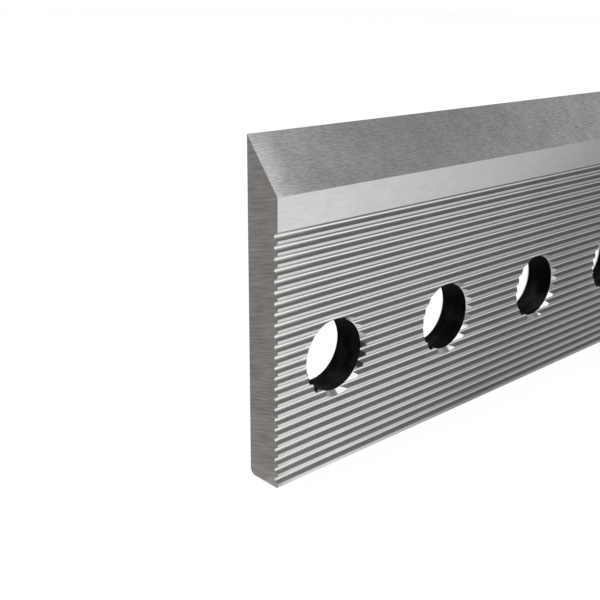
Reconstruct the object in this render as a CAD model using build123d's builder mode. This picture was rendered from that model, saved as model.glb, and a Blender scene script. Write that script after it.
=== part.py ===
"""Moulder knife: a ground tool-steel bar with a bevelled cutting edge, a corrugated
clamping face and a row of countersunk screw holes.

Millimetres. X runs along the bar, Y through its thickness and Z up its height.
The bar stands on its long bottom edge, with the corrugated face towards -Y and the
cutting edge along the top of the flat +Y face. The origin is the middle of the
bottom edge.
"""

import os
from math import radians, sin, tan

from build123d import *

# Bar
length = 230.0
thickness = 6.2
height = 50.8
back_corner_radius = 1.0
front_corner_break = 0.2

# Bevel: the wedge between it and the flat back face is the cutting edge
wedge_angle = 39.0

# Corrugations: 60 degree V grooves with a rounded root, sixteen to the inch
groove_pitch = 25.4 / 16
groove_count = 24
groove_depth = 0.72
groove_angle = 60.0
groove_root_radius = 0.32
lowest_groove_height = 1.31

# Screw holes, countersunk on the corrugated face
hole_count = 9
hole_diameter = 11.2
hole_height = 17.7
hole_end_margin = 11.7
countersink_diameter = 12.6
countersink_angle = 90.0
back_rim_break = 0.5

# Worked out from the sizes above
front = -thickness / 2
back = thickness / 2
bevel_foot_height = height - thickness / tan(radians(wedge_angle))
sharp_v_depth = groove_depth + groove_root_radius * (1 / sin(radians(groove_angle / 2)) - 1)
groove_half_width = sharp_v_depth * tan(radians(groove_angle / 2))
groove_row_middle = lowest_groove_height + groove_pitch * (groove_count - 1) / 2
hole_pitch = (length - 2 * hole_end_margin) / (hole_count - 1)

with BuildPart() as moulder_knife:
    # End profile of the bar: inside the sketch, x is the thickness and y the height
    with BuildSketch(Plane.YZ) as profile:
        with BuildLine():
            Polyline(
                (front, 0),
                (front, bevel_foot_height),
                (back, height),
                (back, 0),
                close=True,
            )
        make_face()

        # Each groove is a V open to the front face, and its sharp root is then rounded
        with Locations((front, groove_row_middle)):
            with GridLocations(groove_pitch, groove_pitch, 1, groove_count):
                Polygon(
                    (0, -groove_half_width),
                    (sharp_v_depth, 0),
                    (0, groove_half_width),
                    align=None,
                    mode=Mode.SUBTRACT,
                )
        groove_roots = profile.vertices().group_by(Axis.X)[1]
        fillet(groove_roots, radius=groove_root_radius)

        bottom_corners = profile.vertices().group_by(Axis.Y)[0].sort_by(Axis.X)
        chamfer(bottom_corners[0], length=front_corner_break)
        fillet(bottom_corners[-1], radius=back_corner_radius)
    extrude(amount=length / 2, both=True)

    # Screw holes, sunk from the corrugated face right through the bar
    with Locations(Plane(origin=(0, front, hole_height), x_dir=(1, 0, 0), z_dir=(0, -1, 0))):
        with GridLocations(hole_pitch, hole_pitch, hole_count, 1):
            CounterSinkHole(
                radius=hole_diameter / 2,
                counter_sink_radius=countersink_diameter / 2,
                counter_sink_angle=countersink_angle,
            )

    # The drill's burr is taken off the rims on the flat back face
    back_rims = moulder_knife.edges().filter_by(GeomType.CIRCLE).group_by(Axis.Y)[-1]
    chamfer(back_rims, length=back_rim_break)

moulder_knife.part.label = "moulder_knife"

os.makedirs("parts", exist_ok=True)
export_step(moulder_knife.part, "parts/moulder_knife.step")
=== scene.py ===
import bpy
from mathutils import Matrix, Vector


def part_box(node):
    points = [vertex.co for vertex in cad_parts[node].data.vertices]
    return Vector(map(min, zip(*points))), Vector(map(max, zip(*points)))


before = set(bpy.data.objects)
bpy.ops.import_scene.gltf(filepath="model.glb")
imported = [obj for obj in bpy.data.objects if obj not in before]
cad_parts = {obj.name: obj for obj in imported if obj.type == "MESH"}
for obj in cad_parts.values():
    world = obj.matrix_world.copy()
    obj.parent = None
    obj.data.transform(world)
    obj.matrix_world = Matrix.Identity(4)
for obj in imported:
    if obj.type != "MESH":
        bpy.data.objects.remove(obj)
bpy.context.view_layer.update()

# The bar: one length of hardened tool steel, with a finish of its own on each kind
# of face. It stands on its long bottom edge, with the corrugated face in front and
# the cutting edge on top, at the back.
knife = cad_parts["moulder_knife"]
low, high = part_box("moulder_knife")
front = low.y
half_length = high.x


# The flat ground faces: the strip under the bevel, the lands between the grooves, the
# back and the bottom edge. A fine wheel leaves them bright, with hair lines along the
# bar. The bevel, grooves, ends and countersinks are the same steel, cut in other ways.
def feed(socket, value):
    """Give an input what another node puts out, or a fixed number or colour."""
    if isinstance(value, bpy.types.NodeSocket):
        socket.id_data.links.new(value, socket)
    else:
        socket.default_value = value


def carried_over(tree, value, first, last, to_first=0.0, to_last=1.0, easing="LINEAR"):
    """A value carried over from one range to another, and held level past its ends."""
    span = tree.nodes.new("ShaderNodeMapRange")
    span.interpolation_type = easing
    feed(span.inputs["Value"], value)
    feed(span.inputs["From Min"], first)
    feed(span.inputs["From Max"], last)
    feed(span.inputs["To Min"], to_first)
    feed(span.inputs["To Max"], to_last)
    return span.outputs["Result"]


def toned(tree, amount, stops, easing="LINEAR"):
    """A tone for each amount: `stops` holds pairs of an amount and a grey or a colour."""
    ramp = tree.nodes.new("ShaderNodeValToRGB")
    ramp.color_ramp.interpolation = easing
    elements = ramp.color_ramp.elements
    for index, (place, tone) in enumerate(stops):
        stop = elements[index] if index < 2 else elements.new(1.0)
        stop.position = place
        stop.color = (tone, tone, tone, 1) if isinstance(tone, float) else (*tone, 1)
    feed(ramp.inputs["Fac"], amount)
    return ramp.outputs["Color"]


def mixed(tree, share, a, b, kind="FLOAT"):
    """`a` where the share is 0 and `b` where it is 1, for numbers or, with RGBA, colours."""
    mix = tree.nodes.new("ShaderNodeMix")
    mix.data_type = kind
    feed(mix.inputs["Factor"], share)
    feed(mix.inputs["A"], a)
    feed(mix.inputs["B"], b)
    return mix.outputs["Result"]


def ground_steel(name, colour, roughness, grain, contrast, bump, anisotropy, along=(1, 0, 0)):
    """Bare steel with fine lines that run along a direction.

    `grain` is the length and width of one line, in metres. `contrast` is how much the
    lines lighten and darken the steel, and `bump` how strongly they stand out.
    """
    steel = bpy.data.materials.new(name)
    steel.use_nodes = True
    tree = steel.node_tree
    surface = tree.nodes["Principled BSDF"]
    surface.inputs["Metallic"].default_value = 1.0
    surface.inputs["Anisotropic"].default_value = anisotropy

    # The shine is drawn out across the lines, round the axis that they run along
    across = tree.nodes.new("ShaderNodeTangent")
    across.direction_type = "RADIAL"
    across.axis = "X" if abs(along[0]) > 0.5 else "Y"
    feed(surface.inputs["Tangent"], across.outputs["Tangent"])

    line_length, line_width = grain
    place = tree.nodes.new("ShaderNodeTexCoord")
    line_up = tree.nodes.new("ShaderNodeMapping")
    line_up.vector_type = "TEXTURE"
    line_up.inputs["Rotation"].default_value = Vector(along).to_track_quat("X", "Z").to_euler()
    line_up.inputs["Scale"].default_value = (line_length, line_width, line_width)
    feed(line_up.inputs["Vector"], place.outputs["Object"])
    scratches = tree.nodes.new("ShaderNodeTexNoise")
    scratches.inputs["Scale"].default_value = 1.0
    scratches.inputs["Detail"].default_value = 2.0
    scratches.inputs["Roughness"].default_value = 0.55
    feed(scratches.inputs["Vector"], line_up.outputs["Vector"])

    # Soft patches a few millimetres across, where the wheel cut a little deeper
    patches_per_metre = 250.0
    patch_share = 0.25
    patches = tree.nodes.new("ShaderNodeTexNoise")
    patches.inputs["Scale"].default_value = patches_per_metre
    patches.inputs["Detail"].default_value = 1.0
    feed(patches.inputs["Vector"], place.outputs["Object"])
    cut = mixed(tree, patch_share, scratches.outputs["Fac"], patches.outputs["Fac"])

    dark = [c * (1 - contrast) for c in colour]
    light = [min(c * (1 + contrast), 1.0) for c in colour]
    tone = toned(tree, cut, ((0.35, dark), (0.65, light)))
    tone.node.name = "tone"
    feed(surface.inputs["Base Color"], tone)

    polish = carried_over(tree, cut, 0.0, 1.0, to_first=1.25 * roughness, to_last=0.8 * roughness)
    polish.node.name = "polish"
    feed(surface.inputs["Roughness"], polish)

    line_depth = 0.00002
    relief = tree.nodes.new("ShaderNodeBump")
    relief.name = "relief"
    relief.inputs["Strength"].default_value = bump
    relief.inputs["Distance"].default_value = line_depth
    feed(relief.inputs["Height"], scratches.outputs["Fac"])
    feed(surface.inputs["Normal"], relief.outputs["Normal"])
    return steel


ground_face = ground_steel(
    "ground_face",
    colour=(0.66, 0.655, 0.655),
    roughness=0.20,
    grain=(0.0015, 0.0002),
    contrast=0.045,
    bump=0.06,
    anisotropy=0.4,
)


# The bevel is ground along the bar by a coarser wheel, which leaves short faint
# streaks that slope a little. The wheel runs off at both ends and rolls the last few
# millimetres over, so they catch the light.
def worked_out(tree, operation, *values):
    """One step of arithmetic on numbers, or on what other nodes put out."""
    step = tree.nodes.new("ShaderNodeMath")
    step.operation = operation
    for socket, value in zip(step.inputs, values):
        feed(socket, value)
    return step.outputs["Value"]


def three_parts(tree, vector):
    """The X, Y and Z of a vector."""
    split = tree.nodes.new("ShaderNodeSeparateXYZ")
    feed(split.inputs["Vector"], vector)
    return split.outputs["X"], split.outputs["Y"], split.outputs["Z"]


def place_on_bar(tree):
    """Where a point of the bar's surface lies: its X, Y and Z."""
    place = tree.nodes.new("ShaderNodeTexCoord")
    return three_parts(tree, place.outputs["Object"])


bevel_foot = 0.0431
down_the_bevel = Vector((0, -0.629, -0.777))
streak_slant = 0.10
bevel = ground_steel(
    "bevel",
    colour=(0.57, 0.57, 0.58),
    roughness=0.25,
    grain=(0.0011, 0.00015),
    contrast=0.26,
    bump=0.08,
    anisotropy=0.6,
    along=Vector((1, 0, 0)) + streak_slant * down_the_bevel,
)

# The roll starts softly, and at the very end it falls at about twice `roll_slope`
rolled_over = 0.0026
roll_softness = 0.0012
roll_slope = 0.0145
bevel_tree = bevel.node_tree
along_bevel, _, _ = place_on_bar(bevel_tree)
from_middle = worked_out(bevel_tree, "ABSOLUTE", along_bevel)
run_off = worked_out(bevel_tree, "SUBTRACT", from_middle, half_length - rolled_over)
run_off_squared = worked_out(bevel_tree, "MULTIPLY", run_off, run_off)
softened_squared = worked_out(bevel_tree, "ADD", run_off_squared, roll_softness ** 2)
softened = worked_out(bevel_tree, "SQRT", softened_squared)
roll = bevel_tree.nodes.new("ShaderNodeBump")
roll.invert = True
roll.inputs["Strength"].default_value = 1.0
roll.inputs["Distance"].default_value = roll_slope
feed(roll.inputs["Height"], worked_out(bevel_tree, "ADD", run_off, softened))
feed(bevel_tree.nodes["relief"].inputs["Normal"], roll.outputs["Normal"])

# The corrugations are ground by a ribbed wheel, whose rounded crests leave the bottom of each groove
# smoother. A bright line is painted there as a highlight, and near the two ends of the bar it takes in
# the whole root; the sloping flanks stay darker and rougher.
groove = ground_steel(
    "groove",
    colour=(0.36, 0.354, 0.346),
    roughness=0.35,
    grain=(0.0014, 0.0002),
    contrast=0.12,
    bump=0.2,
    anisotropy=0.4,
)
groove_depth = 0.00072
polish_and_highlight_starts = 0.00056
groove_tree = groove.node_tree
along_groove, into_groove, _ = place_on_bar(groove_tree)
deeper = carried_over(groove_tree, into_groove, front + polish_and_highlight_starts, front + groove_depth)
# Painted highlight: the colour lightens towards the bottom of the groove, and the same mask also lowers
# the roughness there
polish_and_painted_highlight = toned(groove_tree, deeper, ((0.0, 0.0), (0.2, 0.15), (0.72, 0.22), (0.9, 1.0)))

# Near the two ends of the bar the painted highlight covers the whole root
root_starts, root_whole = 0.00050, 0.00058
end_starts, end_whole = 0.010, 0.001
off_middle = worked_out(groove_tree, "ABSOLUTE", along_groove)
near_end = carried_over(groove_tree, off_middle, half_length - end_starts, half_length - end_whole)
in_root = carried_over(groove_tree, into_groove, front + root_starts, front + root_whole)
painted_highlight_at_end = worked_out(groove_tree, "MULTIPLY", near_end, in_root)
bright = worked_out(groove_tree, "MAXIMUM", polish_and_painted_highlight, painted_highlight_at_end)

# The colour of the painted highlight, far lighter than the steel of the flanks
painted_highlight_colour = (0.88, 0.87, 0.86, 1)
burnished_roughness = 0.12
flank_tone = groove_tree.nodes["tone"].outputs["Color"]
flank_polish = groove_tree.nodes["polish"].outputs["Result"]
groove_tone = mixed(groove_tree, bright, flank_tone, painted_highlight_colour, "RGBA")
groove_polish = mixed(groove_tree, polish_and_painted_highlight, flank_polish, burnished_roughness)
groove_surface = groove_tree.nodes["Principled BSDF"]
feed(groove_surface.inputs["Base Color"], groove_tone)
feed(groove_surface.inputs["Roughness"], groove_polish)

# The ends are sawn and linished across the thickness: dull, a little brown, with
# fine lines that slant down towards the back.
sawn_end = ground_steel(
    "sawn_end",
    colour=(0.485, 0.462, 0.439),
    roughness=0.45,
    grain=(0.004, 0.00024),
    contrast=0.20,
    bump=0.2,
    anisotropy=0.3,
    along=(0, 0.970, -0.242),
)

# The countersinks at the front of the screw holes are turned bright after hardening.
# They cut through the corrugations, so each shows as a ring of small teeth.
countersink_radius = 0.0063
countersink = ground_steel(
    "countersink",
    colour=(0.60, 0.60, 0.60),
    roughness=0.10,
    grain=(0.0008, 0.0004),
    contrast=0.06,
    bump=0.1,
    anisotropy=0.0,
)

# The nine screw holes are drilled before hardening, so their walls keep the black
# scale of the furnace, a little patchy and hardly shining at all.
hole_radius = 0.0056
hole_height = 0.0177
hole_pitch = 0.025825
patches_each_way = (260, 420, 260)
black_to_grey = ((0.45, 0.003), (0.75, (0.040, 0.038, 0.037)))
hole_wall = bpy.data.materials.new("hole_wall")
hole_wall.use_nodes = True
wall_tree = hole_wall.node_tree
wall_place = wall_tree.nodes.new("ShaderNodeTexCoord")
wall_spread = wall_tree.nodes.new("ShaderNodeMapping")
wall_spread.inputs["Scale"].default_value = patches_each_way
feed(wall_spread.inputs["Vector"], wall_place.outputs["Object"])
patchy_scale = wall_tree.nodes.new("ShaderNodeTexNoise")
patchy_scale.inputs["Scale"].default_value = 1.0
patchy_scale.inputs["Detail"].default_value = 6.0
feed(patchy_scale.inputs["Vector"], wall_spread.outputs["Vector"])
wall_tone = toned(wall_tree, patchy_scale.outputs["Fac"], black_to_grey)
wall_polish = carried_over(wall_tree, patchy_scale.outputs["Fac"], 0.0, 1.0, to_first=0.8, to_last=0.6)
wall_surface = wall_tree.nodes["Principled BSDF"]
wall_surface.inputs["Specular IOR Level"].default_value = 0.06
feed(wall_surface.inputs["Base Color"], wall_tone)
feed(wall_surface.inputs["Roughness"], wall_polish)

# Each face of the bar gets its finish, by where it lies and which way it looks. It may
# look squarely along an axis, partly along it or hardly along it, as cosines, and a
# hair and a skin are how far out of its place a face may lie, in metres.
squarely, partly, hardly = 0.99, 0.3, 0.1
hair, skin = 0.00012, 0.00001
cone_looks, cone_slack = -0.7071, 0.04
bottom_corner = 0.0005


def from_hole_axis(point):
    """How far a point is from the middle line of the nearest screw hole."""
    nearest = round(point.x / hole_pitch) * hole_pitch
    return Vector((point.x - nearest, point.z - hole_height)).length


def finish_of(face):
    """Which of the bar's finishes a face carries."""
    looks, at = face.normal, face.center
    off_axis, deep = from_hole_axis(at), at.y - front
    if abs(looks.x) > squarely and abs(at.x) > half_length - hair:
        return sawn_end
    if abs(looks.y) < hardly and off_axis < hole_radius + hair:
        return hole_wall
    if looks.z > partly and at.z > bevel_foot:
        return bevel
    if abs(looks.y - cone_looks) < cone_slack and abs(off_axis + deep - countersink_radius) < hair:
        return countersink
    if looks.y < 0 and skin < deep < groove_depth and at.z > bottom_corner:
        return groove
    return ground_face


finishes = [ground_face, bevel, groove, sawn_end, countersink, hole_wall]
knife.data.materials.clear()
for finish in finishes:
    knife.data.materials.append(finish)
for face in knife.data.polygons:
    face.material_index = finishes.index(finish_of(face))


# The floor: a plain white sheet that keeps the bar's soft shadow. A fan of light is painted into its
# glow for the steel to mirror, opening in front of the bar's left end and fading to the right.
# `floor_fan` says how bright it is at each slope, sideways over forwards.
def by_slope(tree, slope, stops):
    """Brightness that goes by a slope: `stops` holds pairs of a slope and a brightness."""
    first, last = stops[0][0], stops[-1][0]
    share = carried_over(tree, slope, first, last)
    return toned(tree, share, [((at - first) / (last - first), light) for at, light in stops])


def fan_of_light(tree, fan, sideways, forwards, spread):
    """Brightness of the fan at a place or in a direction; behind the bar it is plainer."""
    reach = worked_out(tree, "ADD", worked_out(tree, "ABSOLUTE", forwards), spread)
    slope = worked_out(tree, "DIVIDE", sideways, reach)
    in_front = by_slope(tree, slope, fan)
    behind = carried_over(tree, slope, -0.5, 2.0, to_first=0.40, to_last=0.75, easing="SMOOTHSTEP")
    return mixed(tree, worked_out(tree, "GREATER_THAN", forwards, 0.0), in_front, behind)


floor_size = 6.0
floor_fan = (
    (-3.0, 0.34), (0.1, 0.44), (0.34, 0.52), (0.6, 1.0), (0.92, 1.0), (1.2, 0.83),
    (1.55, 0.71), (1.95, 0.51), (2.1, 0.42), (2.3, 0.35), (3.0, 0.38), (5.0, 0.42),
)
fan_left_of_bar = 0.010
floor_spread = 0.02
bpy.ops.mesh.primitive_plane_add(size=floor_size, location=(0, 0, 0))
floor = bpy.context.object
floor.name = "floor"
white_sheet = bpy.data.materials.new("white_sheet")
white_sheet.use_nodes = True
floor.data.materials.append(white_sheet)
sheet_tree = white_sheet.node_tree
sheet_tree.nodes.clear()
sheet_place = sheet_tree.nodes.new("ShaderNodeNewGeometry")
sheet_x, sheet_y, _ = three_parts(sheet_tree, sheet_place.outputs["Position"])
from_left_end = worked_out(sheet_tree, "ADD", sheet_x, half_length + fan_left_of_bar)
sheet_fan = fan_of_light(sheet_tree, floor_fan, from_left_end, sheet_y, floor_spread)


# Painted shade: a soft dark strip is painted into the fan of light, on the floor in front of the first
# hole's countersink and, leaning to the right, up into the room beyond, so that three teeth of that
# countersink mirror it dark.
def painted_dark_strip(tree, slope, *clear_of_it):
    """Share of the light that the painted dark strip leaves, and the whole light where clear of it."""
    share = by_slope(tree, slope, ((-1.35, 1.0), (-1.1, 0.08), (-0.82, 0.08), (-0.70, 1.0)))
    for clear in clear_of_it:
        share = worked_out(tree, "MAXIMUM", share, clear)
    return share


teeth_from_end = 0.017
foot_of_bar = 0.014
sheet_reach = worked_out(sheet_tree, "ABSOLUTE", sheet_y)
from_teeth = worked_out(sheet_tree, "ADD", sheet_x, half_length - teeth_from_end)
sheet_slope = worked_out(sheet_tree, "DIVIDE", from_teeth, sheet_reach)
at_foot = worked_out(sheet_tree, "LESS_THAN", sheet_reach, foot_of_bar)
behind_bar = worked_out(sheet_tree, "GREATER_THAN", sheet_y, 0.0)
sheet_share = painted_dark_strip(sheet_tree, sheet_slope, at_foot, behind_bar)

# The steel mirrors the fan of light painted into the sheet's glow for glossy rays, and the camera sees
# the sheet as plain white
white_glow = 0.90
matt_white = 0.15
sheet_rays = sheet_tree.nodes.new("ShaderNodeLightPath").outputs
fan_left = worked_out(sheet_tree, "MULTIPLY", sheet_fan, sheet_share)
in_steel = worked_out(sheet_tree, "MULTIPLY", sheet_rays["Is Glossy Ray"], fan_left)
seen = worked_out(sheet_tree, "MAXIMUM", sheet_rays["Is Camera Ray"], sheet_rays["Is Transmission Ray"])
seen_glow = worked_out(sheet_tree, "MULTIPLY", seen, white_glow)
glow = sheet_tree.nodes.new("ShaderNodeEmission")
feed(glow.inputs["Strength"], worked_out(sheet_tree, "MAXIMUM", seen_glow, in_steel))
matt = sheet_tree.nodes.new("ShaderNodeBsdfDiffuse")
feed(matt.inputs["Color"], worked_out(sheet_tree, "MULTIPLY", seen, matt_white))
glow_and_matt = sheet_tree.nodes.new("ShaderNodeAddShader")
feed(glow_and_matt.inputs[0], glow.outputs["Emission"])
feed(glow_and_matt.inputs[1], matt.outputs["BSDF"])
sheet_output = sheet_tree.nodes.new("ShaderNodeOutputMaterial")
feed(sheet_output.inputs["Surface"], glow_and_matt.outputs["Shader"])

# The room: the fan of light runs on up the wall in front, and further up where it is
# bright. Above it is a grey room, darkest half way to the ceiling, which the bevel
# mirrors. The camera sees plain white instead.
room_fan = (
    (-3.0, 0.34), (0.1, 0.44), (0.34, 0.52), (0.6, 1.0), (0.95, 1.0), (1.2, 0.84),
    (1.4, 0.70), (1.55, 0.55), (1.75, 0.38), (2.2, 0.30), (5.0, 0.36),
)
room_spread = 0.001
fan_fades, fan_ends = 0.22, 0.38
climb_where_bright = 0.2
upper_room = ((0.44, 0.50), (0.60, 0.28), (0.76, 0.52))
room = bpy.data.worlds.new("room")
bpy.context.scene.world = room
room.use_nodes = True
room_tree = room.node_tree
room_tree.nodes.clear()
towards = room_tree.nodes.new("ShaderNodeTexCoord")
room_x, room_y, room_z = three_parts(room_tree, towards.outputs["Generated"])
wall_fan = fan_of_light(room_tree, room_fan, room_x, room_y, room_spread)
climb = worked_out(room_tree, "MULTIPLY", wall_fan, climb_where_bright)
past_climb = worked_out(room_tree, "SUBTRACT", room_z, climb)
over_fan = carried_over(room_tree, past_climb, fan_fades, fan_ends, easing="SMOOTHSTEP")
upper_light = toned(room_tree, room_z, upper_room, "EASE")

# The painted dark strip in the room fades out upwards and leans to the right
dark_strip_fades, dark_strip_ends = 0.34, 0.42
dark_strip_lean = 0.5
room_reach = worked_out(room_tree, "ABSOLUTE", room_y)
room_slope = worked_out(room_tree, "DIVIDE", room_x, room_reach)
lean = worked_out(room_tree, "MULTIPLY", room_z, dark_strip_lean)
leaning_slope = worked_out(room_tree, "SUBTRACT", room_slope, lean)
room_behind = worked_out(room_tree, "GREATER_THAN", room_y, 0.0)
over_dark_strip = carried_over(room_tree, room_z, dark_strip_fades, dark_strip_ends)
room_share = painted_dark_strip(room_tree, leaning_slope, room_behind, over_dark_strip)

room_light = room_tree.nodes.new("ShaderNodeBackground")
feed(room_light.inputs["Color"], mixed(room_tree, over_fan, wall_fan, upper_light, "RGBA"))
feed(room_light.inputs["Strength"], room_share)
plain_white = room_tree.nodes.new("ShaderNodeBackground")
plain_white.inputs["Color"].default_value = (1, 1, 1, 1)
room_rays = room_tree.nodes.new("ShaderNodeLightPath").outputs
room_seen = room_tree.nodes.new("ShaderNodeMixShader")
feed(room_seen.inputs["Fac"], room_rays["Is Camera Ray"])
feed(room_seen.inputs[1], room_light.outputs["Background"])
feed(room_seen.inputs[2], plain_white.outputs["Background"])
room_output = room_tree.nodes.new("ShaderNodeOutputWorld")
feed(room_output.inputs["Surface"], room_seen.outputs["Shader"])


# Three soft lamps light the bar: a large one overhead, one in front and one to the
# right of it. All look at the middle of the part of the bar that the camera sees.
def soft_lamp(name, direction, distance, width, height, watts):
    """A soft lamp, hung at a distance and in a direction from what it looks at."""
    target = Vector((-0.08, 0, 0.025))
    lamp = bpy.data.lights.new(name, "AREA")
    lamp.shape = "RECTANGLE"
    lamp.size = width
    lamp.size_y = height
    lamp.energy = watts
    holder = bpy.data.objects.new(name, lamp)
    bpy.context.scene.collection.objects.link(holder)
    place = target + Vector(direction).normalized() * distance
    holder.location = place
    holder.rotation_euler = (target - place).to_track_quat("-Z", "Y").to_euler()


soft_lamp("overhead_lamp", (0.1, 0.1, 1), distance=3.0, width=2.4, height=2.4, watts=35.0)
soft_lamp("front_lamp", (-0.11, -0.83, 0.525), distance=0.6, width=0.44, height=0.33, watts=0.56)
soft_lamp("side_lamp", (0.380, -0.600, 0.703), distance=0.6, width=0.29, height=0.25, watts=0.235)

# The camera stands off the left end, a little above the bar, and looks along it and
# down. `right`, `up` and `ahead` are its own three directions.
camera_data = bpy.data.cameras.new("camera")
camera_data.sensor_width = 36
camera_data.lens = 54.80
camera_data.clip_start = 0.01
camera = bpy.data.objects.new("camera", camera_data)
bpy.context.scene.collection.objects.link(camera)
right = Vector((0.738596, -0.674117, 0.006549))
up = Vector((0.209766, 0.239041, 0.948081))
ahead = Vector((0.640683, 0.698875, -0.317962))
camera_place = Matrix.Translation((-0.192259, -0.091856, 0.068520))
camera.matrix_world = camera_place @ Matrix((right, up, -ahead)).transposed().to_4x4()
bpy.context.scene.camera = camera

bpy.context.scene.view_settings.view_transform = "Standard"
